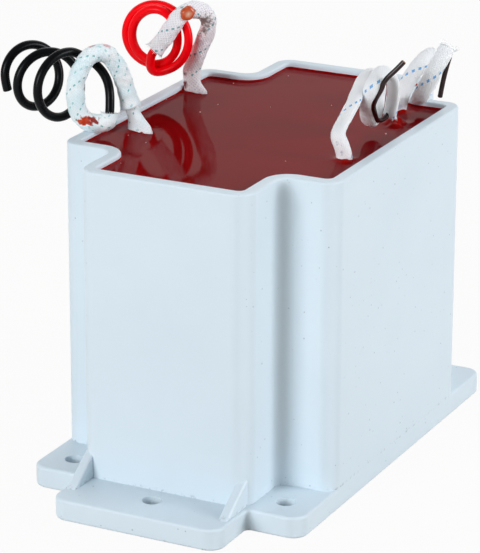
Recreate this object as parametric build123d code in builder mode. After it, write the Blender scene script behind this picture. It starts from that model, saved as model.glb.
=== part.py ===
"""Small potted transformer: a moulded case with mounting tabs, filled with resin, with loose leads on top.

Millimetres. The origin is on the underside, at the middle of the case. +X runs along the front, +Y to the
rear and +Z up.
"""
import os
from math import cos, radians, sin, tan

from build123d import *

# Moulded case: a main block with a bulge at the front and rear for the coil heads
case_height = 85.0
case_width = 75.0
case_depth = 76.5
bulge_width = 46.0
bulge_projection = 18.0
wall = 3.3
floor_thickness = 3.0
corner_radius = 4.0
bulge_corner_radius = 4.5
bulge_root_radius = 3.5
pocket_corner_radius = 1.5
rim_radius = 0.6

# Mounting flange: one tab in each corner of the plan, and one in front of each bulge
flange_thickness = 5.6
corner_tab_projection = 18.0
centre_tab_projection = 15.5
tab_corner_radius = 4.0
tab_root_radius = 1.2
flange_edge_radius = 0.7
hole_diameter = 5.0
corner_hole_side_inset = 8.0
corner_hole_end_inset = 8.25
centre_hole_end_inset = 9.75

# Gusset ribs that stiffen the centre tabs, set in a little from the sides of the bulge
gusset_thickness = 2.6
gusset_side_inset = 0.8
gusset_height = 5.8
gusset_reach = 9.0
gusset_edge_radius = 0.6

# Potting resin
resin_drop = 1.5

# Leads and sleeves
root_sleeve_diameter = 3.6
braid_sleeve_diameter = 4.4
tube_sleeve_diameter = 4.0
lead_diameter = 2.3
enamelled_wire_diameter = 1.3
bend_share = 0.45

# Routes, as x, y and height above the resin
black_root_route = [(-27.4, -16.3, 0), (-27.4, -16.3, 2), (-27.9, -16.3, 4.5), (-28.9, -16.8, 6.5)]
black_sleeve_route = [
    (-28.9, -16.8, 6.5), (-29.9, -17.3, 8.5), (-30.6, -17.9, 11.2), (-31.1, -18.5, 14.2),
    (-32.1, -19.7, 17.4), (-33.6, -21.9, 20), (-35.8, -25.1, 20.2), (-37.6, -27.7, 17.8),
    (-38.4, -28.8, 14.4), (-38.6, -29.1, 11.2), (-38.4, -28.8, 8.2), (-37.8, -28.3, 5.8),
    (-36.3, -27.1, 4.3), (-34.5, -25.5, 4.3), (-33, -24.4, 5.6), (-32.5, -23.9, 7.4),
]
black_lead_route = [
    (-32.5, -23.9, 7.4), (-32.2, -23.6, 8.48), (-32.4, -22.7, 10.8), (-33.4, -21.6, 13.2),
    (-35.4, -20.7, 15.4), (-37.7, -20.6, 17.2), (-39, -21.6, 18.4), (-39.9, -23.3, 19.6),
]
red_sleeve_route = [
    (-31.5, 21.3, 0), (-31.5, 21.3, 2.4), (-32, 21.3, 5.4), (-31.2, 21.3, 8.6), (-29.8, 21.3, 11.6),
    (-28.6, 21.4, 14.6), (-27.7, 21.1, 17.6), (-27.5, 20.2, 20.2), (-28.1, 18.6, 22.3),
    (-29.4, 16.5, 23.2), (-30.9, 14.7, 22.9), (-32.5, 13.4, 20.9), (-34.2, 12.6, 18),
    (-35.8, 12, 15.4), (-37.3, 11.4, 13.4),
]
red_lead_route = [
    (-37.3, 11.4, 13.4), (-38.3, 11, 12.07), (-39.2, 11.2, 9.8), (-39.5, 11.9, 7.6), (-39.6, 13.3, 5.9),
    (-40, 15.5, 5.9),
]
front_sleeve_route = [
    (28.8, -15.2, 0), (28.8, -15.2, 2.2), (28, -15.3, 4.4), (27.2, -13.8, 6.6), (26.5, -10.3, 8.6),
    (25.6, -6, 10.8), (24.9, -1.7, 12.9), (24.8, 2.4, 14.8), (25, 6.4, 15.6), (25, 10, 13.8),
    (24.8, 12.2, 10.6), (24.6, 12.4, 7.2), (24.8, 10.8, 4.4), (25.2, 8, 3), (25.9, 5, 3.8),
    (26.8, 2.4, 6.2), (27.8, 0.2, 9.2), (29, -1.5, 12.4), (30, -1.8, 15.4), (30.7, 0, 17.6),
    (31.1, 3, 18.2), (31.1, 6, 16.8), (30.9, 8.2, 14.2), (30.4, 10, 10.8), (29.8, 11.1, 7.4),
    (29.2, 11.4, 4.4),
]
front_wire_route = [
    (29.2, 11.4, 4.4), (29, 11.5, 3.4), (28.7, 10.4, 2), (28.3, 8.4, 2.6), (28.1, 6.2, 5),
    (28.7, 3.6, 8.2), (30.4, 1, 12), (32.8, -0.8, 16), (35.1, -0.8, 19.2), (37.1, 0.1, 21.8),
]
rear_sleeve_route = [
    (23.2, 30.1, 0), (23.2, 30.1, 2.4), (24.2, 30.6, 5), (25.2, 31.6, 7.6), (26.2, 32.8, 10.2),
    (27.4, 34.6, 12.2), (28.5, 37, 12.5), (29.1, 39.1, 10.8), (29, 39.6, 8.2), (28.4, 38.2, 5.8),
    (27.9, 35.4, 4.3), (28, 32, 3.5), (28.5, 29, 3.8), (29.6, 27, 5.6), (31.2, 26.4, 8.2),
    (32.7, 27, 10.8), (33.8, 28.4, 13.2), (34.7, 30.2, 15.2), (35.2, 31.8, 16.2),
]
rear_wire_route = [
    (35.2, 31.8, 16.2), (35.5, 32.8, 16.8), (35.8, 33.8, 16.2), (35.8, 34.1, 14.4), (35.2, 34.1, 11.4),
    (34.4, 33.9, 8), (33.6, 33.5, 4.6),
]

# Loose turns of the black and red leads
black_coil_heading = 162.0
black_coil_start_angle = -40.0
black_coil_first_radius = 8.7
black_coil_last_radius = 6.6
black_coil_length = 19.0
red_coil_first_radius = 8.6
red_coil_last_radius = 6.2
red_coil_length = 3.4

wall_start = flange_thickness / 2
resin_level = case_height - resin_drop
bulge_front = case_depth / 2 + bulge_projection
resin_top = Plane.XY.offset(resin_level)
os.makedirs("parts", exist_ok=True)


def finish(piece, name):
    piece.part.label = name
    export_step(piece.part, f"parts/{name}.step")


def cross_plan(plan, width, depth, nose_width, nose_depth, root, corner, nose_corner):
    """Draw a rectangle with a narrower nose at both ends, with all its corners rounded."""
    Rectangle(width, depth)
    Rectangle(nose_width, nose_depth)
    fillet(plan.vertices().sort_by_distance((0, 0))[:4], root)
    sides = plan.vertices().group_by(Axis.X)
    fillet(sides[0] + sides[-1], corner)
    ends = plan.vertices().group_by(Axis.Y)
    fillet(ends[0] + ends[-1], nose_corner)


def pocket_plan(plan):
    """Draw the inside of the case wall, which the resin fills."""
    cross_plan(
        plan,
        case_width - 2 * wall,
        case_depth - 2 * wall,
        bulge_width - 2 * wall,
        2 * (bulge_front - wall),
        bulge_root_radius + wall,
        pocket_corner_radius,
        pocket_corner_radius,
    )


# Case
with BuildPart() as case:
    with BuildSketch() as flange_plan:
        cross_plan(
            flange_plan,
            case_width,
            case_depth + 2 * corner_tab_projection,
            bulge_width,
            2 * (bulge_front + centre_tab_projection),
            tab_root_radius,
            tab_corner_radius,
            tab_corner_radius,
        )
    extrude(amount=flange_thickness)
    flange_edges = case.edges().group_by(Axis.Z)
    fillet(flange_edges[0] + flange_edges[-1], flange_edge_radius)

    with BuildSketch(Plane.XY.offset(wall_start)) as body_plan:
        cross_plan(
            body_plan,
            case_width,
            case_depth,
            bulge_width,
            2 * bulge_front,
            bulge_root_radius,
            corner_radius,
            bulge_corner_radius,
        )
    extrude(amount=case_height - wall_start)

    slope = gusset_height / gusset_reach
    gusset_back = bulge_front - bulge_corner_radius
    gusset_toe = bulge_front + gusset_reach
    gusset_outside = bulge_width / 2 - gusset_side_inset
    for gusset_side in (gusset_outside - gusset_thickness, -gusset_outside):
        with BuildSketch(Plane.YZ.offset(gusset_side)):
            with BuildLine():
                Polyline(
                    (gusset_back, wall_start),
                    (gusset_toe, wall_start),
                    (gusset_toe, flange_thickness),
                    (gusset_back, flange_thickness + slope * (gusset_toe - gusset_back)),
                    close=True,
                )
            make_face()
            mirror(about=Plane.YZ)
        extrude(amount=gusset_thickness)
    gusset_tops = case.faces().filter_by(GeomType.PLANE).filter_by(lambda top: 0.1 < top.normal_at().Z < 0.95)
    sloped_edges = gusset_tops.edges().filter_by(GeomType.LINE).filter_by(Axis.X, reverse=True)
    fillet(sloped_edges, gusset_edge_radius)

    with BuildSketch(Plane.XY.offset(case_height)) as pocket:
        pocket_plan(pocket)
    extrude(amount=floor_thickness - case_height, mode=Mode.SUBTRACT)

    corner_hole_x = case_width / 2 - corner_hole_side_inset
    corner_hole_y = case_depth / 2 + corner_tab_projection - corner_hole_end_inset
    centre_hole_y = bulge_front + centre_tab_projection - centre_hole_end_inset
    with Locations(Plane.XY.offset(flange_thickness)):
        with GridLocations(2 * corner_hole_x, 2 * corner_hole_y, 2, 2):
            Hole(hole_diameter / 2)
        with GridLocations(0, 2 * centre_hole_y, 1, 2):
            Hole(hole_diameter / 2)

    fillet(case.edges().group_by(Axis.Z)[-1], rim_radius)
finish(case, "case")

# Resin, from the floor of the case to just under its rim
with BuildPart() as resin_fill:
    with BuildSketch(Plane.XY.offset(floor_thickness)) as resin_plan:
        pocket_plan(resin_plan)
    extrude(amount=resin_level - floor_thickness)
finish(resin_fill, "resin_fill")


def bend_radii(route):
    """Return the arc radius at each inner point: as large as the two runs beside it allow."""
    points = [Vector(*point) for point in route]
    radii = []
    for before, corner, after in zip(points, points[1:], points[2:]):
        run_in = corner - before
        run_out = after - corner
        half_turn = radians(run_in.get_angle(run_out)) / 2
        radii.append(bend_share * min(run_in.length, run_out.length) / tan(half_turn))
    return radii


def make_lead(name, route, diameter):
    """Sweep a round lead or sleeve along its route over the resin."""
    radii = bend_radii(route)
    with BuildPart() as lead:
        with BuildLine(resin_top) as path:
            FilletPolyline(*route, radius=radii)
        with BuildSketch(Plane(origin=path.line @ 0, z_dir=path.line % 0)) as section:
            Circle(diameter / 2)
        sweep()
    finish(lead, name)
    length = path.wire().length
    share = lead.part.volume / (section.sketch.area * length)
    print(f"{name}: length {length:.1f}, volume over section times length {share:.3f}")
    print("  bend radii", *[f"{radius:.1f}" for radius in radii])


def make_coil(name, start, heading, first_radius, last_radius, length):
    """Revolve the outer shape of a lead's loose turns about the line through their centres."""
    half = lead_diameter / 2
    along = Vector(cos(radians(heading)), sin(radians(heading)), 0)
    axis_start = resin_top.from_local_coords(Vector(*start))
    with BuildPart() as coil:
        with BuildSketch(Plane(origin=axis_start, x_dir=along, z_dir=along.cross(Vector(0, 0, 1)))):
            with BuildLine():
                Polyline(
                    (0, first_radius - half),
                    (0, first_radius + half),
                    (length, last_radius + half),
                    (length, last_radius - half),
                    close=True,
                )
            make_face()
        revolve(axis=Axis(axis_start, along))
    finish(coil, name)


make_lead("black_lead_root_sleeve", black_root_route, root_sleeve_diameter)
make_lead("black_lead_sleeve", black_sleeve_route, braid_sleeve_diameter)
make_lead("black_lead", black_lead_route, lead_diameter)
make_lead("red_lead_sleeve", red_sleeve_route, braid_sleeve_diameter)
make_lead("red_lead", red_lead_route, lead_diameter)
make_lead("front_secondary_sleeve", front_sleeve_route, tube_sleeve_diameter)
make_lead("front_secondary_wire", front_wire_route, enamelled_wire_diameter)
make_lead("rear_secondary_sleeve", rear_sleeve_route, tube_sleeve_diameter)
make_lead("rear_secondary_wire", rear_wire_route, enamelled_wire_diameter)

# The black turns start beside the end of their lead, and the red ones square on it
black_end = Vector(*black_lead_route[-1])
black_along = Vector(cos(radians(black_coil_heading)), sin(radians(black_coil_heading)), 0)
black_side = black_along.cross(Vector(0, 0, 1))
black_rise = Vector(0, 0, 1) * cos(radians(black_coil_start_angle))
black_reach = black_rise - black_side * sin(radians(black_coil_start_angle))
black_coil_start = black_end - black_reach * black_coil_first_radius + black_along * (lead_diameter / 2)
make_coil(
    "black_lead_coil",
    black_coil_start,
    black_coil_heading,
    black_coil_first_radius,
    black_coil_last_radius,
    black_coil_length,
)

red_end = Vector(*red_lead_route[-1])
red_coil_start = red_end + Vector(0, 0, red_coil_first_radius)
red_along = red_end - Vector(*red_lead_route[-2])
make_coil(
    "red_lead_coil",
    red_coil_start,
    red_along.get_signed_angle(Vector(1, 0, 0), Vector(0, 0, -1)),
    red_coil_first_radius,
    red_coil_last_radius,
    red_coil_length,
)
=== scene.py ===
import math

import bmesh
import bpy
import numpy as np
from mathutils import Matrix, Vector
from mathutils.geometry import delaunay_2d_cdt


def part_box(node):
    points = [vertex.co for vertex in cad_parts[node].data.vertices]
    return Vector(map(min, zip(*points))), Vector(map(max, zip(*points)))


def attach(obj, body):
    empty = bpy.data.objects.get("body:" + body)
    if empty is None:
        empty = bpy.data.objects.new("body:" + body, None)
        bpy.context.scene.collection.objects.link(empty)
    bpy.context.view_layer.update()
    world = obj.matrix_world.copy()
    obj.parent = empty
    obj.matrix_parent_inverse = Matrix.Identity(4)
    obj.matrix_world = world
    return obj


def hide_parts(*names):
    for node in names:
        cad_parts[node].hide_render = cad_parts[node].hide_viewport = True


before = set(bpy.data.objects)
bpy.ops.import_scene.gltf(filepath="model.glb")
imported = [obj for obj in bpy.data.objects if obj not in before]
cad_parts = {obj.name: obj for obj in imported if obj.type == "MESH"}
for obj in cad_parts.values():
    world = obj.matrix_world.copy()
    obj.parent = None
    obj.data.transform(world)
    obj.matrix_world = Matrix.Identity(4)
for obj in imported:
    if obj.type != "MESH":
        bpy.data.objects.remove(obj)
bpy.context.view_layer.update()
scene = bpy.context.scene
scene.view_settings.view_transform = "Standard"
mm = 0.001
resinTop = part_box("resin_fill")[1].z
print("frame loaded, resin at", round(resinTop, 4))


# helpers
def linear(hexColour):  # sRGB hex to linear
    channels = [int(hexColour[i:i + 2], 16) / 255 for i in (1, 3, 5)]
    return [c / 12.92 if c <= 0.04045 else ((c + 0.055) / 1.055) ** 2.4 for c in channels] + [1.0]


def wire(tree, node, inputs):  # a node or one of its sockets is linked, anything else is set
    for key, value in inputs.items():
        if isinstance(value, bpy.types.Node):
            value = next(socket for socket in value.outputs if socket.enabled)
        if isinstance(value, bpy.types.NodeSocket):
            tree.links.new(value, node.inputs[key])
        else:
            node.inputs[key].default_value = value


def addNode(tree, kind, inputs=None, **settings):
    node = tree.nodes.new(kind)
    for name, value in settings.items():
        setattr(node, name, value)
    wire(tree, node, inputs or {})
    return node


def newMaterial(name, **sockets):  # principled shader with fixed values on its own sockets
    material = bpy.data.materials.new(name)
    material.use_nodes = True
    shader = material.node_tree.nodes["Principled BSDF"]
    for key, value in sockets.items():
        shader.inputs[key.replace("_", " ")].default_value = value
    return material, material.node_tree, shader


def mottled(tree, size, first, second, detail=2.0):  # two colours in soft patches of a real size
    place = addNode(tree, "ShaderNodeTexCoord").outputs["Object"]
    noise = addNode(tree, "ShaderNodeTexNoise", {"Vector": place, "Scale": 1 / size, "Detail": detail})
    colour = addNode(tree, "ShaderNodeMix", {
        0: noise, 6: linear(first), 7: linear(second),
    }, data_type="RGBA")
    return colour, noise


def mottledMaterial(name, size, first, second, detail=2.0, **sockets):
    material, tree, shader = newMaterial(name, **sockets)
    colour, _ = mottled(tree, size, first, second, detail)
    wire(tree, shader, {"Base Color": colour})
    return material


def addPiece(name, data, replaced=()):  # finished object at the origin, riding on the one body
    piece = bpy.data.objects.new(name, data)
    scene.collection.objects.link(piece)
    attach(piece, "root")
    for node in replaced:
        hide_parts(node)
    return piece


def closeMesh(name, mesh, material):  # plain mesh of a worked one, with its faces outwards
    bmesh.ops.recalc_face_normals(mesh, faces=mesh.faces)
    data = bpy.data.meshes.new(name)
    mesh.to_mesh(data)
    mesh.free()
    data.materials.append(material)
    return data


def overResin(route):  # route points in millimetres, as height above the resin, to metres
    return [Vector((x * mm, y * mm, resinTop + z * mm)) for x, y, z in route]


def routeCurve(name, points):  # smooth line that has the points as its control points
    curve = bpy.data.curves.new(name, "CURVE")
    curve.dimensions = "3D"
    curve.resolution_u = 10
    spline = curve.splines.new("NURBS")
    spline.points.add(len(points) - 1)
    for point, place in zip(spline.points, points):
        point.co = (*place, 1.0)
    spline.order_u = 3
    spline.use_endpoint_u = True
    return curve


def readLine(curve):  # points along the smooth line
    holder = bpy.data.objects.new(curve.name, curve)
    mesh = bpy.data.meshes.new_from_object(holder)
    bpy.data.objects.remove(holder)
    return mesh


def newTree(name, sockets):  # geometry tree with named inputs
    tree = bpy.data.node_groups.new(name, "GeometryNodeTree")
    tree.interface.new_socket("Geometry", in_out="INPUT", socket_type="NodeSocketGeometry")
    for label, kind in sockets.items():
        tree.interface.new_socket(label, in_out="INPUT", socket_type="NodeSocket" + kind)
    tree.interface.new_socket("Geometry", in_out="OUTPUT", socket_type="NodeSocketGeometry")
    return tree, addNode(tree, "NodeGroupInput").outputs


def endTree(tree, shape, material):  # realised and with its material, as the export needs it
    shape = addNode(tree, "GeometryNodeRealizeInstances", {"Geometry": shape})
    shape = addNode(tree, "GeometryNodeSetMaterial", {"Geometry": shape, "Material": material})
    addNode(tree, "NodeGroupOutput", {"Geometry": shape})


def runTree(tree, mesh, values):  # plain mesh that the tree makes from a host mesh
    host = bpy.data.objects.new(tree.name, mesh)
    scene.collection.objects.link(host)
    modifier = host.modifiers.new(tree.name, "NODES")
    modifier.node_group = tree
    for item in tree.interface.items_tree:
        if item.in_out == "INPUT" and item.name in values:
            modifier[item.identifier] = values[item.name]
    made = bpy.data.meshes.new_from_object(host.evaluated_get(bpy.context.evaluated_depsgraph_get()))
    host.modifiers.remove(modifier)
    bpy.data.objects.remove(host)
    return made


# camera
cameraSet = {
    "target": (0.0, 0.0, 0.0425), "yaw": 26.72, "pitch": 19.49, "roll": 0.15,
    "distance": 0.8016, "aside": -0.00655, "above": 0.00127, "lens": 203.8,
}
turn = (Matrix.Rotation(math.radians(cameraSet["yaw"]), 4, "Z")
        @ Matrix.Rotation(math.radians(90 - cameraSet["pitch"]), 4, "X")
        @ Matrix.Rotation(math.radians(cameraSet["roll"]), 4, "Z"))
camera = bpy.data.objects.new("camera", bpy.data.cameras.new("camera"))
camera.data.lens = cameraSet["lens"]
stand = Vector((cameraSet["aside"], cameraSet["above"], cameraSet["distance"]))
camera.matrix_world = Matrix.Translation(Vector(cameraSet["target"]) + turn.to_3x3() @ stand) @ turn
scene.collection.objects.link(camera)
scene.camera = camera
print("camera set")

# light and floor
lightSet = {
    "levels": [(0.0, 0.21), (0.15, 0.2), (0.3, 0.2), (0.5, 0.21), (0.8, 0.36)],  # sine of height, level
    "cool": (0.985, 0.995, 1.02),
    "backdrop": {"towards": (-0.45, 0.89, 0.0), "sides": (0.2, 0.55), "top": (0.72, 0.56), "level": 0.95},
    "lampTint": (0.97, 0.995, 1.04),
    "lamps": {  # place, size in metres, watts
        "left softbox": ((-0.26, -1.2, 0.42), 0.6, 10.9),
        "right softbox": ((1.2, 0.28, 0.42), 0.6, 10.6),
        "back softbox": ((-0.3, 1.0, 1.0), 0.8, 2.6),
    },
    "aim": (0, 0, 0.045), "floorSize": 12.0, "paper": "#b4b0a9", "fibre": "#c0bcb5", "white": 0.95,
    "fibreSize": 50 / 3 * mm,
}
scene.world = bpy.data.worlds.new("studio")
scene.world.use_nodes = True
sky = scene.world.node_tree
direction = addNode(sky, "ShaderNodeTexCoord").outputs["Generated"]
height = addNode(sky, "ShaderNodeSeparateXYZ", {0: direction}).outputs["Z"]
levels = addNode(sky, "ShaderNodeValToRGB", {"Fac": height})
ramp = levels.color_ramp
ramp.elements.remove(ramp.elements[1])
for k, (place, level) in enumerate(lightSet["levels"]):
    stop = ramp.elements[0] if k == 0 else ramp.elements.new(place)
    stop.position = place
    stop.color = (*(level * c for c in lightSet["cool"]), 1)
backdrop = lightSet["backdrop"]
facing = addNode(sky, "ShaderNodeVectorMath", {
    0: direction, 1: backdrop["towards"],
}, operation="DOT_PRODUCT")
wide = addNode(sky, "ShaderNodeMapRange", {
    "Value": facing, "From Min": backdrop["sides"][0], "From Max": backdrop["sides"][1],
})
low = addNode(sky, "ShaderNodeMapRange", {
    "Value": height, "From Min": backdrop["top"][0], "From Max": backdrop["top"][1],
})
lit = addNode(sky, "ShaderNodeMix", {  # a pale backdrop behind the object, which the resin mirrors
    0: addNode(sky, "ShaderNodeMath", {0: wide, 1: low}, operation="MULTIPLY"),
    6: levels, 7: (*(backdrop["level"] for _ in range(3)), 1),
}, data_type="RGBA")
wire(sky, sky.nodes["Background"], {"Color": lit})
for name, (place, size, watts) in lightSet["lamps"].items():
    lamp = bpy.data.objects.new(name, bpy.data.lights.new(name, "AREA"))
    lamp.data.shape = "DISK"
    lamp.data.size = size
    lamp.data.energy = watts
    lamp.data.color = lightSet["lampTint"]
    lamp.location = place
    lamp.rotation_euler = (Vector(lightSet["aim"]) - Vector(place)).to_track_quat("-Z", "Y").to_euler()
    scene.collection.objects.link(lamp)


def paperFloor():  # white to the eye and in reflections, with the shadow kept
    material, tree, shader = newMaterial("white paper", Roughness=0.85, Specular_IOR_Level=0.2)
    paper, _ = mottled(tree, lightSet["fibreSize"], lightSet["paper"], lightSet["fibre"], 4.0)
    wire(tree, shader, {"Base Color": paper})
    rays = addNode(tree, "ShaderNodeLightPath").outputs
    seen = addNode(tree, "ShaderNodeMath", {
        0: rays["Is Camera Ray"], 1: rays["Is Glossy Ray"],
    }, operation="MAXIMUM")
    seen = addNode(tree, "ShaderNodeMath", {0: seen, 1: rays["Is Transmission Ray"]}, operation="MAXIMUM")
    share = addNode(tree, "ShaderNodeMath", {0: seen, 1: lightSet["white"]}, operation="MULTIPLY")
    glow = addNode(tree, "ShaderNodeEmission", {"Strength": 1.0})
    mixed = addNode(tree, "ShaderNodeMixShader", {0: share, 1: shader, 2: glow})
    wire(tree, tree.nodes["Material Output"], {"Surface": mixed})
    return material


half = lightSet["floorSize"] / 2
floorMesh = bpy.data.meshes.new("floor")
floorCorners = [(-half, -half, 0), (half, -half, 0), (half, half, 0), (-half, half, 0)]
floorMesh.from_pydata(floorCorners, [], [(0, 1, 2, 3)])
floorMesh.materials.append(paperFloor())
floor = bpy.data.objects.new("floor", floorMesh)
scene.collection.objects.link(floor)
print("light and floor set")

# case: pale polyester compound, moulded, satin, with dark flecks of filler, and a spotty dark band along its
# bottom edge and at the feet of its walls, partly grime and partly painted shade in the creases
caseFinish = {
    "colour": "#dbe8ef", "cloud": "#d2e0e8", "fleck": "#6f7d86", "grimeAndShade": "#77858d",
    "cloudSize": 28 * mm, "fleckSpacing": 2.1 * mm, "fleckRadius": 0.24 * mm, "fleckStrength": 0.62,
    "fleckFade": 2.0, "grimeAndShadeSize": 1.1 * mm, "grimeAndShadeEdge": (0.55, 0.68), "grimeAndShadeBand": 0.9 * mm,
    "grimeAndShadeCore": 0.05 * mm, "grimeAndShadeLift": 0.02 * mm, "flangeTop": 5.6 * mm, "grimeAndShadeStrength": 0.55,
    "grainSize": 0.7 * mm, "grainDepth": 0.02 * mm, "roughness": 0.42, "roughnessSwing": 0.06,
}


def mouldedPolyester():
    material, tree, shader = newMaterial("moulded polyester compound", IOR=1.52, Specular_IOR_Level=0.4)
    place = addNode(tree, "ShaderNodeTexCoord").outputs["Object"]
    body, clouds = mottled(tree, caseFinish["cloudSize"], caseFinish["colour"], caseFinish["cloud"], 3.0)
    cells = addNode(tree, "ShaderNodeTexVoronoi", {
        "Vector": place, "Scale": 1 / caseFinish["fleckSpacing"],
    })
    chance = addNode(tree, "ShaderNodeSeparateColor", {0: cells.outputs["Color"]}).outputs
    reach = addNode(tree, "ShaderNodeMath", {  # flecks differ in size
        0: chance["Red"], 1: caseFinish["fleckRadius"] / caseFinish["fleckSpacing"],
    }, operation="MULTIPLY")
    fleck = addNode(tree, "ShaderNodeMath", {0: cells.outputs["Distance"], 1: reach}, operation="LESS_THAN")
    dark = addNode(tree, "ShaderNodeMath", {  # and in darkness, so that most are faint
        0: chance["Green"], 1: caseFinish["fleckFade"],
    }, operation="POWER")
    dark = addNode(tree, "ShaderNodeMath", {0: dark, 1: caseFinish["fleckStrength"]}, operation="MULTIPLY")
    faint = addNode(tree, "ShaderNodeMath", {0: fleck, 1: dark}, operation="MULTIPLY")
    colour = addNode(tree, "ShaderNodeMix", {
        0: faint, 6: body, 7: linear(caseFinish["fleck"]),
    }, data_type="RGBA")
    spots = addNode(tree, "ShaderNodeTexNoise", {
        "Vector": place, "Scale": 1 / caseFinish["grimeAndShadeSize"], "Detail": 3.0,
    })
    spots = addNode(tree, "ShaderNodeMapRange", {
        "Value": spots, "From Min": caseFinish["grimeAndShadeEdge"][0], "From Max": caseFinish["grimeAndShadeEdge"][1],
    })
    height = addNode(tree, "ShaderNodeSeparateXYZ", {0: place}).outputs["Z"]
    for level in (0.0, caseFinish["flangeTop"]):  # along the bottom edge and the feet of the walls: partly grime, partly painted shade in the creases
        away = addNode(tree, "ShaderNodeMath", {0: height, 1: level}, operation="SUBTRACT")
        near = addNode(tree, "ShaderNodeMapRange", {
            "Value": addNode(tree, "ShaderNodeMath", {0: away}, operation="ABSOLUTE"),
            "From Min": caseFinish["grimeAndShadeCore"], "From Max": caseFinish["grimeAndShadeBand"],
            "To Min": caseFinish["grimeAndShadeStrength"], "To Max": 0.0,
        })
        off = addNode(tree, "ShaderNodeMath", {
            0: away, 1: caseFinish["grimeAndShadeLift"],
        }, operation="GREATER_THAN")
        grimeAndShade = addNode(tree, "ShaderNodeMath", {
            0: addNode(tree, "ShaderNodeMath", {0: near, 1: spots}, operation="MULTIPLY"), 1: off,
        }, operation="MULTIPLY")
        colour = addNode(tree, "ShaderNodeMix", {
            0: grimeAndShade, 6: colour, 7: linear(caseFinish["grimeAndShade"]),
        }, data_type="RGBA")
    grain = addNode(tree, "ShaderNodeTexNoise", {
        "Vector": place, "Scale": 1 / caseFinish["grainSize"], "Detail": 2.0,
    })
    bump = addNode(tree, "ShaderNodeBump", {
        "Distance": caseFinish["grainDepth"], "Strength": 0.5, "Height": grain,
    })
    gloss = addNode(tree, "ShaderNodeMapRange", {
        "Value": clouds, "To Min": caseFinish["roughness"] - caseFinish["roughnessSwing"],
        "To Max": caseFinish["roughness"] + caseFinish["roughnessSwing"],
    })
    wire(tree, shader, {"Base Color": colour, "Roughness": gloss, "Normal": bump})
    return material


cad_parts["case"].data.materials.clear()
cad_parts["case"].data.materials.append(mouldedPolyester())
print("case finished")

# resin: red-brown casting resin, poured, with a curled edge along the wall, lumps by the leads and bubbles
resinShape = {
    "edgeRise": 0.42 * mm, "edgeWidth": 0.18 * mm, "collarRise": 0.4 * mm, "collarWidth": 0.7 * mm,
    "collarThin": 0.8, "mostRise": 1.1 * mm, "lumpRound": 1.5, "lumpThin": 0.7,
    "wave": 0.02 * mm, "waveWidth": 9 * mm, "waveLength": 13 * mm, "waveSwing": 1.3,
    "bubblyAll": 0.04, "bubblyEdge": 0.25, "bubblyWidth": 1 * mm, "bubblyReach": 3 * mm,
    "weld": 1e-6, "meet": 1e-7, "level": 0.99, "clear": 0.97, "wallStep": 1.2 * mm, "gridStep": 2.4 * mm,
    "wallGap": 0.1 * mm, "insets": [0.12 * mm, 0.28 * mm, 0.5 * mm, 0.8 * mm, 1.25 * mm, 1.9 * mm],
    "feet": [  # x, y and radius in mm
        (-28.2, -16.6, 1.9), (-32.0, 21.1, 2.2), (28.7, -15.3, 1.9), (23.6, 28.6, 1.8),
    ],
    "footRings": (0.7, 0.95, 1.05, 1.2, 1.4, 1.7, 2.1), "footSides": 20, "footRoom": 2.4,
    "lumps": [  # x, y, radius and height in mm
        (27.0, 18.6, 3.1, 2.0), (28.4, 15.6, 2.3, 1.1), (25.2, 20.8, 1.5, 1.0),
        (-34.3, 20.6, 1.4, 0.9), (-33.8, 18.4, 0.8, 0.5), (30.1, -17.6, 1.7, 0.6),
        (-29.7, -14.4, 1.4, 0.6), (-25.6, -18.4, 0.7, 0.35), (24.6, 28.4, 1.5, 0.5),
    ],
    "lumpRings": (0.03, 0.2, 0.4, 0.6, 0.8, 0.95, 1.1), "lumpSides": 16, "lumpRoom": 1.3, "ringTurn": 5,
    "bubbles": {
        "Density": 30000.0, "Smallest": 0.1 * mm, "Largest": 0.24 * mm, "Dome Height": 0.7,
        "Least Upward": 0.05, "Seed": 4,
    },
}
resinFinish = {
    "deep": "#74070a", "warm": "#830b0e", "thin": "#960d06", "cloudSize": 16 * mm, "shine": 0.018,
    "roughness": 0.05, "thinRoughness": 0.22, "rippleSize": 1.6 * mm, "rippleDepth": 0.08 * mm,
    "bubble": "#c98d84", "bubbleLight": "#e6c8bf", "speckleSize": 4 * mm,
}


def castResin():  # clear gloss; where it is thin the light comes through and it turns bright red
    material, tree, shader = newMaterial(
        "poured casting resin", IOR=1.5, Specular_IOR_Level=resinFinish["shine"])
    place = addNode(tree, "ShaderNodeTexCoord").outputs["Object"]
    colour, _ = mottled(tree, resinFinish["cloudSize"], resinFinish["deep"], resinFinish["warm"], 4.0)
    thin = addNode(tree, "ShaderNodeAttribute", attribute_name="thin").outputs["Fac"]
    colour = addNode(tree, "ShaderNodeMix", {
        0: thin, 6: colour, 7: linear(resinFinish["thin"]),
    }, data_type="RGBA")
    gloss = addNode(tree, "ShaderNodeMapRange", {
        "Value": thin, "To Min": resinFinish["roughness"], "To Max": resinFinish["thinRoughness"],
    })
    ripple = addNode(tree, "ShaderNodeTexNoise", {"Vector": place, "Scale": 1 / resinFinish["rippleSize"]})
    bubbly = addNode(tree, "ShaderNodeAttribute", attribute_name="bubbly").outputs["Fac"]
    bump = addNode(tree, "ShaderNodeBump", {  # uneven skin where the bubbles gather
        "Distance": resinFinish["rippleDepth"], "Strength": 1.0,
        "Height": addNode(tree, "ShaderNodeMath", {0: ripple, 1: bubbly}, operation="MULTIPLY"),
    })
    wire(tree, shader, {"Base Color": colour, "Roughness": gloss, "Normal": bump})
    return material


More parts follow.
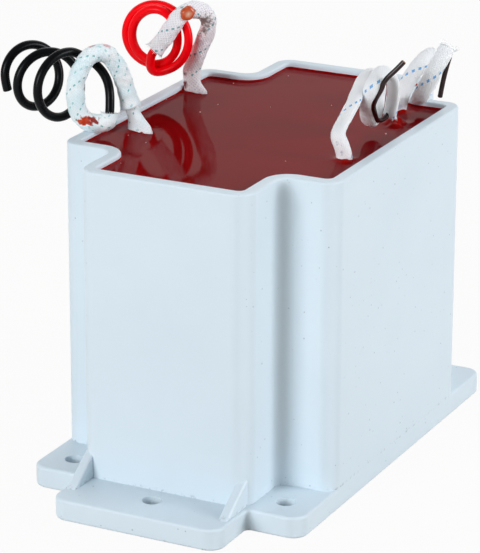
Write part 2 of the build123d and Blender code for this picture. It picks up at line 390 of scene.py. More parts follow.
def topOutline(node):  # ordered outline of the node's top face
    mesh = bmesh.new()
    mesh.from_mesh(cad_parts[node].data)
    bmesh.ops.remove_doubles(mesh, verts=mesh.verts, dist=resinShape["weld"])
    top = {f for f in mesh.faces if f.normal.z > resinShape["level"]}
    border = {e for e in mesh.edges if sum(f in top for f in e.link_faces) == 1}
    start = next(iter(border))
    corners, corner, edge = [], start.verts[0], start
    while True:
        corners.append(Vector((corner.co.x, corner.co.y)))
        corner = edge.other_vert(corner)
        edge = next(e for e in corner.link_edges if e in border and e is not edge)
        if edge is start:
            break
    mesh.free()
    area = sum(a.cross(b) for a, b in zip(corners, corners[1:] + corners[:1]))
    corners = corners if area > 0 else corners[::-1]
    first = min(range(len(corners)), key=lambda i: [round(c, 6) for c in corners[i]])
    return corners[first:] + corners[:first]  # begins at the same corner each run


def splitOutline(corners, step):
    points = []
    for a, b in zip(corners, corners[1:] + corners[:1]):
        count = max(1, round((b - a).length / step))
        points += [a.lerp(b, i / count) for i in range(count)]
    return points


def wallDistance(points, outline):  # distance from each point to the outline
    start = np.array(outline)
    run = np.roll(start, -1, axis=0) - start
    away = np.array(points)[:, None] - start[None]
    share = np.clip((away * run).sum(2) / (run * run).sum(1), 0, 1)
    return np.linalg.norm(away - share[..., None] * run, axis=2).min(1)


def ringPoints(x, y, radius, reaches, count):  # rings of points round a place, in metres
    points = []
    for reach in reaches:
        for k in range(count):
            angle = math.tau * (k + resinShape["ringTurn"] * reach) / count
            spoke = Vector((math.cos(angle), math.sin(angle)))
            points.append(Vector((x, y)) * mm + spoke * radius * reach * mm)
    return points


def resinPoints(outline):  # close rows along the wall, rings at feet and lumps, a grid elsewhere
    inward = []
    for before, after in zip(outline[-1:] + outline[:-1], outline[1:] + outline[:1]):
        along = (after - before).normalized()
        inward.append(Vector((-along.y, along.x)))
    points = []
    for inset in resinShape["insets"]:
        row = [p + n * inset for p, n in zip(outline, inward)]
        near = wallDistance(row, outline)
        points += [p for p, d in zip(row, near) if d > resinShape["clear"] * inset]  # none across a corner
    busy = []
    for x, y, radius in resinShape["feet"]:
        points += ringPoints(x, y, radius, resinShape["footRings"], resinShape["footSides"])
        busy.append((Vector((x, y)) * mm, resinShape["footRoom"] * radius * mm))
    for x, y, radius, _ in resinShape["lumps"]:
        points += ringPoints(x, y, radius, resinShape["lumpRings"], resinShape["lumpSides"])
        busy.append((Vector((x, y)) * mm, resinShape["lumpRoom"] * radius * mm))
    low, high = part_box("resin_fill")
    step = resinShape["gridStep"]
    grid = [Vector((x + 0.5 * step * (row % 2), y))
            for row, y in enumerate(np.arange(low.y, high.y, step))
            for x in np.arange(low.x, high.x, step)]
    near = wallDistance(grid, outline)
    points += [p for p, d in zip(grid, near) if d > step and all((p - c).length > r for c, r in busy)]
    inside = wallDistance(points, outline) > resinShape["wallGap"]
    return [p for p, kept in zip(points, inside) if kept]


def resinHeight(p, edge):  # lift over the flat level, how thin the resin is and how bubbly
    thin = math.exp(-edge / resinShape["edgeWidth"])
    lift = resinShape["edgeRise"] * thin
    bubbly = resinShape["bubblyEdge"] * math.exp(-edge / resinShape["bubblyWidth"]) + resinShape["bubblyAll"]
    for x, y, radius in resinShape["feet"]:
        gap = max(0.0, (p - Vector((x, y)) * mm).length - radius * mm)
        collar = math.exp(-gap / resinShape["collarWidth"])
        lift += resinShape["collarRise"] * collar
        thin += resinShape["collarThin"] * collar
        bubbly += math.exp(-gap / resinShape["bubblyReach"])
    lift = min(lift, resinShape["mostRise"])
    for x, y, radius, height in resinShape["lumps"]:
        share = (p - Vector((x, y)) * mm).length / (radius * mm)
        if share < 1:
            lift += height * mm * (1 - share ** 2) ** resinShape["lumpRound"]
            thin += resinShape["lumpThin"] * (1 - share ** 2)
    sway = resinShape["waveSwing"] * math.sin(p.y / resinShape["waveLength"])
    lift += resinShape["wave"] * math.sin(p.x / resinShape["waveWidth"] + sway)
    return lift, min(thin, 1.0), min(bubbly, 1.0)


def pouredResin(material):
    outline = splitOutline(topOutline("resin_fill"), resinShape["wallStep"])
    count = len(outline)
    wall = [(i, (i + 1) % count) for i in range(count)]
    points = outline + resinPoints(outline)
    flat, _, faces, *_ = delaunay_2d_cdt(points, wall, [list(range(count))], 1, resinShape["meet"])
    made = [resinHeight(p, d) for p, d in zip(flat, wallDistance(flat, outline))]
    mesh = bmesh.new()
    thinLayer = mesh.verts.layers.float.new("thin")
    bubbleLayer = mesh.verts.layers.float.new("bubbly")
    top = [mesh.verts.new((p.x, p.y, resinTop + lift)) for p, (lift, _, _) in zip(flat, made)]
    for vert, (_, thin, bubbly) in zip(top, made):
        vert[thinLayer] = thin
        vert[bubbleLayer] = bubbly
    for face in faces:
        mesh.faces.new([top[i] for i in face]).smooth = True
    rim = [e for e in mesh.edges if e.is_boundary]
    following = {e.link_loops[0].vert: e.link_loops[0].link_loop_next.vert for e in rim}
    edge = [next(iter(following))]
    while following[edge[-1]] is not edge[0]:
        edge.append(following[edge[-1]])
    foot = [mesh.verts.new((v.co.x, v.co.y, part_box("resin_fill")[0].z)) for v in edge]
    for i in range(len(edge)):  # side wall, one quad at a time, so that each run gives the same order
        j = (i + 1) % len(edge)
        mesh.faces.new((edge[j], edge[i], foot[i], foot[j]))
    mesh.faces.new(foot[::-1])
    for line in rim:
        line.smooth = False
    data = closeMesh("poured_resin", mesh, material)
    return addPiece("poured_resin", data, ["resin_fill"])


poured = pouredResin(castResin())
print("resin poured")

# bubbles: small domes that set in the resin's skin, most of them by the leads
bubbleTree, sizes = newTree("bubbles in resin", {
    "Density": "Float", "Smallest": "Float", "Largest": "Float", "Dome Height": "Float",
    "Least Upward": "Float", "Seed": "Int", "Material": "Material",
})
bubbly = addNode(bubbleTree, "GeometryNodeInputNamedAttribute", {"Name": "bubbly"}, data_type="FLOAT")
upward = addNode(bubbleTree, "ShaderNodeSeparateXYZ", {
    0: addNode(bubbleTree, "GeometryNodeInputNormal"),
}).outputs["Z"]
spread = addNode(bubbleTree, "GeometryNodeDistributePointsOnFaces", {
    "Mesh": sizes["Geometry"], "Seed": sizes["Seed"],
    "Selection": addNode(bubbleTree, "ShaderNodeMath", {  # none on the hidden side wall
        0: upward, 1: sizes["Least Upward"],
    }, operation="GREATER_THAN"),
    "Density": addNode(bubbleTree, "ShaderNodeMath", {
        0: bubbly, 1: sizes["Density"],
    }, operation="MULTIPLY"),
})
size = addNode(bubbleTree, "FunctionNodeRandomValue", {
    2: sizes["Smallest"], 3: sizes["Largest"], "Seed": sizes["Seed"],
})
tall = addNode(bubbleTree, "ShaderNodeMath", {0: size, 1: sizes["Dome Height"]}, operation="MULTIPLY")
dome = addNode(bubbleTree, "ShaderNodeCombineXYZ", {0: size, 1: size, 2: tall})
domes = addNode(bubbleTree, "GeometryNodeInstanceOnPoints", {
    "Points": spread, "Scale": dome,
    "Instance": addNode(bubbleTree, "GeometryNodeMeshIcoSphere", {"Radius": 1.0, "Subdivisions": 2}),
})
domes = addNode(bubbleTree, "GeometryNodeSetShadeSmooth", {"Geometry": domes})
endTree(bubbleTree, domes, sizes["Material"])

bubbleResin = mottledMaterial(  # a thin skin over air looks paler than the resin round it
    "bubble in casting resin", resinFinish["speckleSize"], resinFinish["bubble"],
    resinFinish["bubbleLight"], IOR=1.5, Roughness=0.12, Specular_IOR_Level=0.5)
bubbles = runTree(bubbleTree, poured.data.copy(), dict(resinShape["bubbles"], Material=bubbleResin))
addPiece("resin_bubbles", bubbles)
print("bubbles set", len(bubbles.polygons))

# sleeves: thin braided tubes that follow the leads' routes
sleeveForm = {"creaseDetail": 2.0, "toeNarrow": 2.0}  # fineness of its creases, and how narrow a toe is
sleeveTree, sizes = newTree("sleeve over a lead", {
    "Width": "Float", "Thickness": "Float", "Ring Step": "Float", "Sides": "Int", "Twist": "Float",
    "First Tilt": "Float", "Foot Flare": "Float", "Foot Length": "Float", "Mouth Flare": "Float",
    "Mouth Length": "Float", "Toe": "Vector", "Toe Length": "Float", "Crumple": "Float",
    "Crumple Size": "Float", "Seed": "Float", "Reel Start": "Float", "Material": "Material",
})
line = addNode(sleeveTree, "GeometryNodeResampleCurve", {
    "Curve": addNode(sleeveTree, "GeometryNodeMeshToCurve", {"Mesh": sizes["Geometry"]}),
    "Length": sizes["Ring Step"],
}, mode="LENGTH")
along = addNode(sleeveTree, "GeometryNodeSplineParameter").outputs["Length"]
line = addNode(sleeveTree, "GeometryNodeStoreNamedAttribute", {
    "Geometry": line, "Name": "along",
    "Value": addNode(sleeveTree, "ShaderNodeMath", {0: along, 1: sizes["Reel Start"]}, operation="ADD"),
}, data_type="FLOAT", domain="POINT")
tilt = addNode(sleeveTree, "ShaderNodeMath", {
    0: along, 1: sizes["Twist"], 2: sizes["First Tilt"],
}, operation="MULTIPLY_ADD")
line = addNode(sleeveTree, "GeometryNodeSetCurveTilt", {"Curve": line, "Tilt": tilt})
profile = addNode(sleeveTree, "GeometryNodeCurvePrimitiveCircle", {
    "Resolution": sizes["Sides"], "Radius": 1.0,
})
profile = addNode(sleeveTree, "GeometryNodeStoreNamedAttribute", {
    "Geometry": profile, "Name": "ring", "Value": addNode(sleeveTree, "GeometryNodeInputPosition"),
}, data_type="FLOAT_VECTOR", domain="POINT")
halves = addNode(sleeveTree, "ShaderNodeVectorMath", {
    0: addNode(sleeveTree, "ShaderNodeCombineXYZ", {0: sizes["Width"], 1: sizes["Thickness"]}),
    1: (0.5, 0.5, 0.5),
}, operation="MULTIPLY")
profile = addNode(sleeveTree, "GeometryNodeTransform", {"Geometry": profile, "Scale": halves})
left = addNode(sleeveTree, "ShaderNodeMath", {  # length that is left to the mouth
    0: addNode(sleeveTree, "GeometryNodeSplineLength").outputs["Length"], 1: along,
}, operation="SUBTRACT")
footFlare = addNode(sleeveTree, "ShaderNodeMapRange", {
    "Value": along, "From Max": sizes["Foot Length"], "To Min": sizes["Foot Flare"], "To Max": 0.0,
}, interpolation_type="SMOOTHSTEP")
mouthFlare = addNode(sleeveTree, "ShaderNodeMapRange", {
    "Value": left, "From Max": sizes["Mouth Length"], "To Min": sizes["Mouth Flare"], "To Max": 0.0,
}, interpolation_type="SMOOTHSTEP")
wide = addNode(sleeveTree, "ShaderNodeMath", {
    0: addNode(sleeveTree, "ShaderNodeMath", {0: footFlare, 1: mouthFlare}, operation="ADD"), 1: 1.0,
}, operation="ADD")
tube = addNode(sleeveTree, "GeometryNodeCurveToMesh", {
    "Curve": line, "Profile Curve": profile, "Scale": wide,
})
normal = addNode(sleeveTree, "GeometryNodeInputNormal")
folds = addNode(sleeveTree, "ShaderNodeTexNoise", {
    "W": sizes["Seed"], "Detail": sleeveForm["creaseDetail"],
    "Scale": addNode(sleeveTree, "ShaderNodeMath", {0: 1.0, 1: sizes["Crumple Size"]}, operation="DIVIDE"),
}, noise_dimensions="4D")
push = addNode(sleeveTree, "ShaderNodeMath", {
    0: addNode(sleeveTree, "ShaderNodeMath", {0: folds, 1: 0.5}, operation="SUBTRACT"),
    1: sizes["Crumple"],
}, operation="MULTIPLY")
shift = addNode(sleeveTree, "ShaderNodeVectorMath", {0: normal, "Scale": push}, operation="SCALE")
tube = addNode(sleeveTree, "GeometryNodeSetPosition", {"Geometry": tube, "Offset": shift})
towards = addNode(sleeveTree, "ShaderNodeVectorMath", {
    0: normal, 1: addNode(sleeveTree, "ShaderNodeVectorMath", {0: sizes["Toe"]}, operation="NORMALIZE"),
}, operation="DOT_PRODUCT")
towards = addNode(sleeveTree, "ShaderNodeMath", {0: towards, 1: 0.0}, operation="MAXIMUM")
point = addNode(sleeveTree, "ShaderNodeMath", {0: towards, 1: sleeveForm["toeNarrow"]}, operation="POWER")
kept = addNode(sleeveTree, "GeometryNodeInputNamedAttribute", {"Name": "along"}, data_type="FLOAT")
low = addNode(sleeveTree, "ShaderNodeMapRange", {
    "Value": kept, "From Max": sizes["Toe Length"], "To Min": 1.0, "To Max": 0.0,
}, interpolation_type="SMOOTHERSTEP")
spread = addNode(sleeveTree, "ShaderNodeVectorMath", {
    0: sizes["Toe"], "Scale": addNode(sleeveTree, "ShaderNodeMath", {
        0: point, 1: low,
    }, operation="MULTIPLY"),
}, operation="SCALE")
tube = addNode(sleeveTree, "GeometryNodeSetPosition", {"Geometry": tube, "Offset": spread})
tube = addNode(sleeveTree, "GeometryNodeSetShadeSmooth", {"Geometry": tube})
endTree(sleeveTree, tube, sizes["Material"])

# frayed ends: stiff short yarns that stand out of a cut edge
yarnForm = {"inward": -0.1, "stray": 0.25, "corners": 5, "tip": 0.25}  # lean, wander, cone of a yarn
frayTree, sizes = newTree("frayed yarns", {
    "Longest": "Float", "Shortest": "Float", "Yarn": "Float", "Spread": "Float", "Seed": "Int",
    "Material": "Material",
})
outward = addNode(frayTree, "GeometryNodeInputNamedAttribute", {
    "Name": "outward",
}, data_type="FLOAT_VECTOR")
onward = addNode(frayTree, "GeometryNodeInputNamedAttribute", {"Name": "onward"}, data_type="FLOAT_VECTOR")
splay = addNode(frayTree, "FunctionNodeRandomValue", {
    2: yarnForm["inward"], 3: sizes["Spread"], "Seed": sizes["Seed"],
})
stray = addNode(frayTree, "FunctionNodeRandomValue", {
    0: [-yarnForm["stray"]] * 3, 1: [yarnForm["stray"]] * 3, "Seed": sizes["Seed"],
}, data_type="FLOAT_VECTOR")
lean = addNode(frayTree, "ShaderNodeVectorMath", {0: outward, "Scale": splay}, operation="SCALE")
lean = addNode(frayTree, "ShaderNodeVectorMath", {0: lean, 1: onward}, operation="ADD")
lean = addNode(frayTree, "ShaderNodeVectorMath", {0: lean, 1: stray}, operation="ADD")
reach = addNode(frayTree, "FunctionNodeRandomValue", {
    2: sizes["Shortest"], 3: sizes["Longest"], "Seed": sizes["Seed"],
})
yarns = addNode(frayTree, "GeometryNodeInstanceOnPoints", {
    "Points": sizes["Geometry"],
    "Instance": addNode(frayTree, "GeometryNodeMeshCone", {
        "Vertices": yarnForm["corners"], "Radius Top": yarnForm["tip"], "Radius Bottom": 1.0, "Depth": 1.0,
    }),
    "Rotation": addNode(frayTree, "FunctionNodeAlignRotationToVector", {"Vector": lean}, axis="Z"),
    "Scale": addNode(frayTree, "ShaderNodeCombineXYZ", {0: sizes["Yarn"], 1: sizes["Yarn"], 2: reach}),
})
endTree(frayTree, yarns, sizes["Material"])
braidSet = {  # edges of the soft bands in a braid's patterns, and the size of the tears at the edges of stains and of painted shade
    "cloudEdge": (0.35, 0.65), "gapEdge": (-0.9, 0.1), "weaveStrength": 0.7, "tearSize": 0.9 * mm,
}


def braidedGlass(name, look):  # yarns that cross on the bias, coloured ones as dashes, stains of varnish and patches of painted shade
    material, tree, shader = newMaterial(
        name, IOR=1.5, Specular_IOR_Level=0.35, Subsurface_Weight=0.2, Subsurface_Radius=(1, 1, 1),
        Subsurface_Scale=1.5 * mm)
    along = addNode(tree, "ShaderNodeAttribute", attribute_name="along").outputs["Fac"]
    ring = addNode(tree, "ShaderNodeSeparateXYZ", {
        0: addNode(tree, "ShaderNodeAttribute", attribute_name="ring").outputs["Vector"],
    }).outputs
    angle = addNode(tree, "ShaderNodeMath", {0: ring["Y"], 1: ring["X"]}, operation="ARCTAN2")

    def bias(yarns, step, hand):
        lengthwise = addNode(tree, "ShaderNodeMath", {0: along, 1: 1 / step}, operation="MULTIPLY")
        return addNode(tree, "ShaderNodeMath", {
            0: angle, 1: hand * yarns / math.tau, 2: lengthwise,
        }, operation="MULTIPLY_ADD")

    def wave(phase):
        turned = addNode(tree, "ShaderNodeMath", {0: phase, 1: math.tau}, operation="MULTIPLY")
        return addNode(tree, "ShaderNodeMath", {0: turned}, operation="SINE")

    weave = addNode(tree, "ShaderNodeMath", {
        0: wave(bias(look["fineYarns"], look["fineStep"], 1)),
        1: wave(bias(look["fineYarns"], look["fineStep"], -1)),
    }, operation="MAXIMUM")
    bump = addNode(tree, "ShaderNodeBump", {
        "Distance": look["weaveDepth"], "Strength": braidSet["weaveStrength"], "Height": weave,
    })
    place = addNode(tree, "ShaderNodeTexCoord").outputs["Object"]
    clouds = addNode(tree, "ShaderNodeTexNoise", {
        "Vector": place, "Scale": 1 / look["cloudSize"], "Detail": 3.0,
    })
    cloud = addNode(tree, "ShaderNodeMapRange", {
        "Value": clouds, "From Min": braidSet["cloudEdge"][0], "From Max": braidSet["cloudEdge"][1],
    })
    colour = addNode(tree, "ShaderNodeMix", {
        0: cloud, 6: linear(look["colour"]), 7: linear(look["tint"]),
    }, data_type="RGBA")
    gaps = addNode(tree, "ShaderNodeMapRange", {  # dark gaps between the yarns
        "Value": weave, "From Min": braidSet["gapEdge"][0], "From Max": braidSet["gapEdge"][1],
        "To Min": look["gapStrength"], "To Max": 0.0,
    })
    colour = addNode(tree, "ShaderNodeMix", {0: gaps, 6: colour, 7: linear(look["gap"])}, data_type="RGBA")
    lane, across = bias(look["yarns"], look["step"], -1), bias(look["yarns"], look["step"], 1)
    for tracer, first, count, width, show, chance, strength in look["tracers"]:
        row = addNode(tree, "ShaderNodeMath", {
            0: addNode(tree, "ShaderNodeMath", {0: lane, 1: first}, operation="ADD"),
            1: float(look["yarns"]) / count,
        }, operation="FLOORED_MODULO")
        onYarn = addNode(tree, "ShaderNodeMath", {0: row, 1: width}, operation="LESS_THAN")
        over = addNode(tree, "ShaderNodeMath", {  # shows at every second crossing
            0: addNode(tree, "ShaderNodeMath", {0: across, 1: 2.0}, operation="FLOORED_MODULO"),
            1: show,
        }, operation="LESS_THAN")
        cell = addNode(tree, "ShaderNodeMath", {0: across}, operation="FLOOR")
        luck = addNode(tree, "ShaderNodeTexWhiteNoise", {"W": cell}, noise_dimensions="1D")
        seen = addNode(tree, "ShaderNodeMath", {0: luck, 1: chance}, operation="LESS_THAN")
        for part in (onYarn, over, strength):
            seen = addNode(tree, "ShaderNodeMath", {0: seen, 1: part}, operation="MULTIPLY")
        colour = addNode(tree, "ShaderNodeMix", {0: seen, 6: colour, 7: linear(tracer)}, data_type="RGBA")
    rough = look["roughness"]
    torn = addNode(tree, "ShaderNodeTexNoise", {
        "Vector": place, "Scale": 1 / braidSet["tearSize"], "Detail": 2.0,
    })
    for middle, radius, ragged, soft, stainAndShadeColour, strength, stainAndShadeRough in look["stainsAndShade"]:
        away = addNode(tree, "ShaderNodeVectorMath", {
            0: place, 1: overResin([middle])[0],
        }, operation="DISTANCE")
        reach = addNode(tree, "ShaderNodeMath", {
            0: torn, 1: ragged * mm, 2: away,
        }, operation="MULTIPLY_ADD")
        edge = (radius + ragged / 2) * mm
        stainAndShadeShare = addNode(tree, "ShaderNodeMapRange", {
            "Value": reach, "From Min": edge - soft * mm, "From Max": edge, "To Min": strength,
            "To Max": 0.0,
        })
        colour = addNode(tree, "ShaderNodeMix", {0: stainAndShadeShare, 6: colour, 7: linear(stainAndShadeColour)}, data_type="RGBA")
        rough = addNode(tree, "ShaderNodeMix", {0: stainAndShadeShare, 2: rough, 3: stainAndShadeRough})
    wire(tree, shader, {"Base Color": colour, "Roughness": rough, "Normal": bump})
    return material


flecked = braidedGlass("varnished glass braid", {
    "colour": "#f8ffff", "tint": "#def5f9", "gap": "#bccdd2", "gapStrength": 0.25, "cloudSize": 5 * mm,
    "roughness": 0.4, "yarns": 14, "step": 1.1 * mm, "weaveDepth": 0.05 * mm,
    "fineYarns": 18, "fineStep": 0.7 * mm,  # coarse enough to show
    "tracers": [  # colour, first lane, count, then width, length, chance and strength of a dash
        ("#2fa7a3", 0.0, 2, 0.55, 0.8, 0.7, 0.75),
        ("#7fc9c9", 3.4, 2, 0.6, 0.9, 0.6, 0.6),
    ],
    "stainsAndShade": [  # place, radius, raggedness and soft edge in mm, colour, strength, roughness
        ((-36.4, -29.9, 4.5), 1.5, 3.6, 0.5, "#c63c00", 0.98, 0.25),
        ((-35.2, -29.0, 4.7), 1.5, 3.6, 0.5, "#bd3200", 0.98, 0.25),
        ((-33.9, -28.1, 4.9), 1.3, 3.0, 0.5, "#921400", 0.98, 0.25),
        ((-36.2, -24.8, 23.4), 1.4, 3.0, 0.6, "#cf3b3f", 0.7, 0.3),
        ((-33.4, -22.2, 22.8), 1.3, 3.0, 0.6, "#d0494c", 0.6, 0.3),
        ((-27.6, -17.9, -0.3), 1.1, 1.2, 0.7, "#9b2015", 0.7, 0.15),
    ],
})
dotted = braidedGlass("open glass braid", {
    "colour": "#ffffff", "tint": "#fbf7fb", "gap": "#a9aac6", "gapStrength": 0.38, "cloudSize": 6 * mm,
    "roughness": 0.5, "yarns": 14, "step": 1.1 * mm, "weaveDepth": 0.08 * mm,
    "fineYarns": 15, "fineStep": 0.82 * mm,  # coarse enough to show
    "tracers": [  # colour, first lane, count, then width, length, chance and strength of a dash
        ("#2c9fa0", 0.0, 2, 0.7, 0.9, 0.85, 0.8),
    ],
    "stainsAndShade": [  # place, radius, raggedness and soft edge in mm, colour, strength, roughness
        ((-33.6, 19.6, 4.8), 0.9, 1.4, 0.8, "#8b2a22", 0.85, 0.2),
        ((-33.6, 19.8, 1.9), 1.3, 1.4, 0.8, "#7a120d", 0.95, 0.15),
        # the next three are painted shade inside the arch of the sleeve, brown where varnish stained it
        ((-27.6, 18.7, 20.2), 2.5, 6.0, 1.6, "#6a544a", 0.85, 0.3),
        ((-27.7, 19.0, 17.8), 2.0, 6.0, 1.6, "#7c6a63", 0.85, 0.35),
        ((-28.6, 19.4, 14.2), 1.7, 5.0, 1.6, "#b7a9b6", 0.7, 0.4),
    ],
})
traced = braidedGlass("white glass braid with blue tracer", {
    "colour": "#ffffff", "tint": "#f4f8f9", "gap": "#b9c4cb", "gapStrength": 0.3, "cloudSize": 6 * mm,
    "roughness": 0.42, "yarns": 12, "step": 1.43 * mm, "weaveDepth": 0.05 * mm,
    "fineYarns": 20, "fineStep": 0.65 * mm,  # coarse enough to show
    "tracers": [  # colour, first lane, count, then width, length, chance and strength of a dash
        ("#3b9fe3", 5.4, 1, 0.7, 0.9, 0.97, 0.85),
    ],
    "stainsAndShade": [  # place, radius, raggedness and soft edge in mm, colour, strength, roughness
        # the next two are painted shade, bluish, in the kink of the front sleeve
        ((27.4, -17.2, 4.3), 1.1, 4.0, 1.0, "#6f7a9c", 0.75, 0.3),
        ((28.4, -16.9, 2.5), 0.9, 3.6, 1.0, "#8790ad", 0.6, 0.3),
        ((28.9, -16.6, -0.4), 0.9, 1.2, 0.7, "#a52015", 0.6, 0.2),
        # painted shade at the foot of the rear sleeve
        ((24.2, 27.6, 1.6), 1.6, 1.8, 1.2, "#868ca4", 0.6, 0.35),
    ],
})

yarnFinish = {"bright": "#ffffff", "shade": "#e3ecee", "shadeSize": 0.8 * mm}
looseGlass = mottledMaterial(  # single bright yarns, with a faint shade along them
    "loose glass yarn", yarnFinish["shadeSize"], yarnFinish["bright"], yarnFinish["shade"],
    IOR=1.5, Roughness=0.45)
frayShape = {"Longest": 1.5 * mm, "Shortest": 0.4 * mm, "Yarn": 0.07 * mm, "Spread": 0.9, "Seed": 6}


def thicken(mesh, wall):  # gives an open tube its wall, inwards
    host = bpy.data.objects.new(mesh.name, mesh)
    scene.collection.objects.link(host)
    solid = host.modifiers.new("wall", "SOLIDIFY")
    solid.thickness = wall
    solid.offset = -1
    made = bpy.data.meshes.new_from_object(host.evaluated_get(bpy.context.evaluated_depsgraph_get()))
    bpy.data.objects.remove(host)
    return made


def frayRing(name, mesh, sides, atMouth, path, material, fray):  # yarns on the first or last ring of a tube
    ring = [v.co.copy() for v in (mesh.vertices[-sides:] if atMouth else mesh.vertices[:sides])]
    middle = sum(ring, Vector()) / sides
    onward = (path[-1] - path[-4]).normalized() if atMouth else (path[0] - path[3]).normalized()
    host = bpy.data.meshes.new(name)
    host.from_pydata(ring, [], [])
    outward = [(p - middle).normalized() for p in ring]
    for label, vectors in (("outward", outward), ("onward", [onward] * sides)):
        values = host.attributes.new(label, "FLOAT_VECTOR", "POINT")
        for item, vector in zip(values.data, vectors):
            item.vector = vector
    made = runTree(frayTree, host, dict(fray, Material=material))
    made.name = name
    return addPiece(name, made)


sleeveMesh = {"Ring Step": 0.3 * mm, "Sides": 40}


def makeSleeve(name, route, shape, material, replaced, wall, frays):
    host = readLine(routeCurve(name, overResin(route)))
    path = [v.co.copy() for v in host.vertices]
    sides = sleeveMesh["Sides"]
    tube = runTree(sleeveTree, host, dict(shape, **sleeveMesh, Material=material))
    yarns = []
    for end, fray in frays.items():
        yarns.append(frayRing(f"{name}_{end}_yarns", tube, sides, end == "mouth", path, looseGlass, fray))
    made = thicken(tube, wall)
    made.name = name
    return addPiece(name, made, replaced), path, yarns


blackRootRoute = [
    (-28.2, -16.6, 0), (-28.2, -16.6, 1.6), (-28.6, -16.9, 3.8), (-29.2, -17, 6), (-29.8, -17.1, 7.5),
]
blackSleeveRoute = [
    (-29.4, -17.1, 6.2), (-30, -17.4, 8.3), (-30.6, -17.9, 11.2), (-31.1, -18.5, 14.2),
    (-32.1, -19.7, 17.7), (-33.5, -21.8, 20.6), (-35.7, -25, 21.1), (-37.6, -27.7, 18.2),
    (-38.4, -28.8, 14.5), (-38.6, -29.1, 11.2), (-38.4, -28.8, 8.2), (-37.9, -28.3, 5.9),
    (-36.6, -27.4, 4), (-34.5, -26.2, 3.4), (-32.6, -25.2, 3.4), (-31.6, -24.3, 4.4), (-31.7, -24, 5.8),
]
blackLeadRoute = [
    (-32.4, -25, 3.6), (-31.6, -24.2, 4.5), (-31.7, -24, 5.8), (-31.8, -23.6, 7.7), (-32.2, -22.8, 10.6),
    (-33.4, -21.6, 13.2), (-35.4, -20.7, 15.4), (-37.7, -20.6, 17.2), (-39, -21.6, 18.4),
    (-39.9, -23.3, 19.6),
]
redSleeveRoute = [
    (-32, 21.1, 0), (-32, 21.1, 2.4), (-32.4, 21.1, 5.3), (-31.4, 21.1, 8.5), (-29.9, 21.2, 11.5),
    (-28.6, 21.4, 14.6), (-27.5, 21.3, 17.6), (-26.9, 20.5, 20.4), (-27.8, 19, 22.6),
    (-29.3, 16.7, 23.5), (-31, 14.7, 22.9), (-32.6, 13.3, 20.7), (-34.4, 12.3, 17.5),
    (-36.2, 11.7, 14.9), (-37.7, 11, 12.9),
]
redLeadRoute = [
    (-36.2, 11.7, 14.9), (-37.7, 11, 12.9), (-38.5, 10.7, 11.6), (-39.2, 11.1, 9.6), (-39.5, 11.9, 7.6),
    (-39.2, 13.3, 6.2),
]
frontSleeveRoute = [
    (28.7, -15.3, 0), (28.7, -15.3, 1.8), (27.8, -15.5, 4), (26.6, -15, 6), (26.4, -12.2, 7.8),
    (26.4, -8.4, 9.7), (26.1, -4.5, 11.5), (25.6, -1, 13.3), (25.1, 2.5, 14.9), (24.9, 6.2, 16.2),
    (25.1, 10.1, 14.8), (25.1, 12.3, 11.1), (24.6, 12.4, 7.2), (24.8, 10.8, 4.4), (25.2, 8, 3),
    (25.9, 5, 3.8), (26.8, 2.4, 6.2), (27.8, 0.2, 9.2), (29, -1.5, 12.4), (30, -1.8, 15.4),
    (30.7, 0, 17.6), (31.1, 3, 18.2), (31.1, 6, 16.8), (30.9, 8.2, 14.2), (30.3, 10, 10.8),
    (29.5, 11, 7.4), (28.9, 11.3, 4.3),
]
frontWireRoute = [
    (29.2, 11.3, 6.1), (28.7, 10.6, 4.4), (28.2, 8.2, 3.8), (28.3, 4.5, 4.5), (29.3, 1.0, 7.6),
    (29.7, -1.1, 10.1), (30.9, -1.7, 12.6), (32.1, -1.4, 14.6), (32.5, -1.3, 16.3), (33.6, -1.1, 17.9),
    (35.5, -0.6, 19.8), (37.2, 0.2, 21.9),
]
rearSleeveRoute = [
    (23.6, 28.6, 0), (23.6, 28.8, 1.8), (24, 30, 4.4), (24.8, 31.3, 7.3), (26, 32.6, 10),
    (27.2, 34.5, 12.1), (28.6, 36.6, 13.8), (29.3, 38.8, 13.6), (29.4, 40.1, 11.2), (29, 39.6, 8.4),
    (28.4, 38.2, 5.8), (28, 35.4, 4.1), (28.2, 31.9, 3.3), (28.8, 29, 3.5), (30.1, 27.3, 5.3),
    (31.8, 26.7, 8.2), (33, 27.1, 10.7), (33.8, 28.3, 13), (34.6, 29.9, 15.1), (35, 31.2, 16.6),
    (35.3, 32.1, 17.5),
]
rearWireRoute = [
    (34.5, 29.9, 14.9), (35, 31, 16.1), (35.3, 32.2, 16.6), (35.4, 33.2, 16.2), (35.4, 33.5, 14.9),
    (34.9, 33.4, 13.2), (34.3, 33.2, 10.5), (33.7, 33.1, 7.5), (33.2, 32.9, 4.1),
]
braidShape = {
    "Width": 4.5 * mm, "Thickness": 3.2 * mm, "Twist": 0.0, "First Tilt": 1.1, "Foot Flare": 0.12,
    "Foot Length": 3 * mm, "Mouth Flare": 0.08, "Mouth Length": 2.5 * mm, "Toe": (0.0, 0.0, 0.0),
    "Toe Length": 4 * mm, "Crumple": 1.0 * mm, "Crumple Size": 2.8 * mm, "Seed": 3.0, "Reel Start": 0.0,
}
upperShape = dict(braidShape, **{
    "Width": 4.6 * mm, "Thickness": 3.9 * mm, "Twist": 20.0, "First Tilt": 1.6, "Foot Flare": 0.2,
    "Mouth Flare": -0.1,
})
rootShape = dict(braidShape, **{
    "Width": 3.5 * mm, "Thickness": 2.8 * mm, "Foot Flare": 0.25, "Foot Length": 5 * mm, "Mouth Flare": 0.0,
    "Toe": (3.0 * mm, -0.9 * mm, -0.1 * mm), "Toe Length": 6 * mm, "Crumple": 0.6 * mm,
})
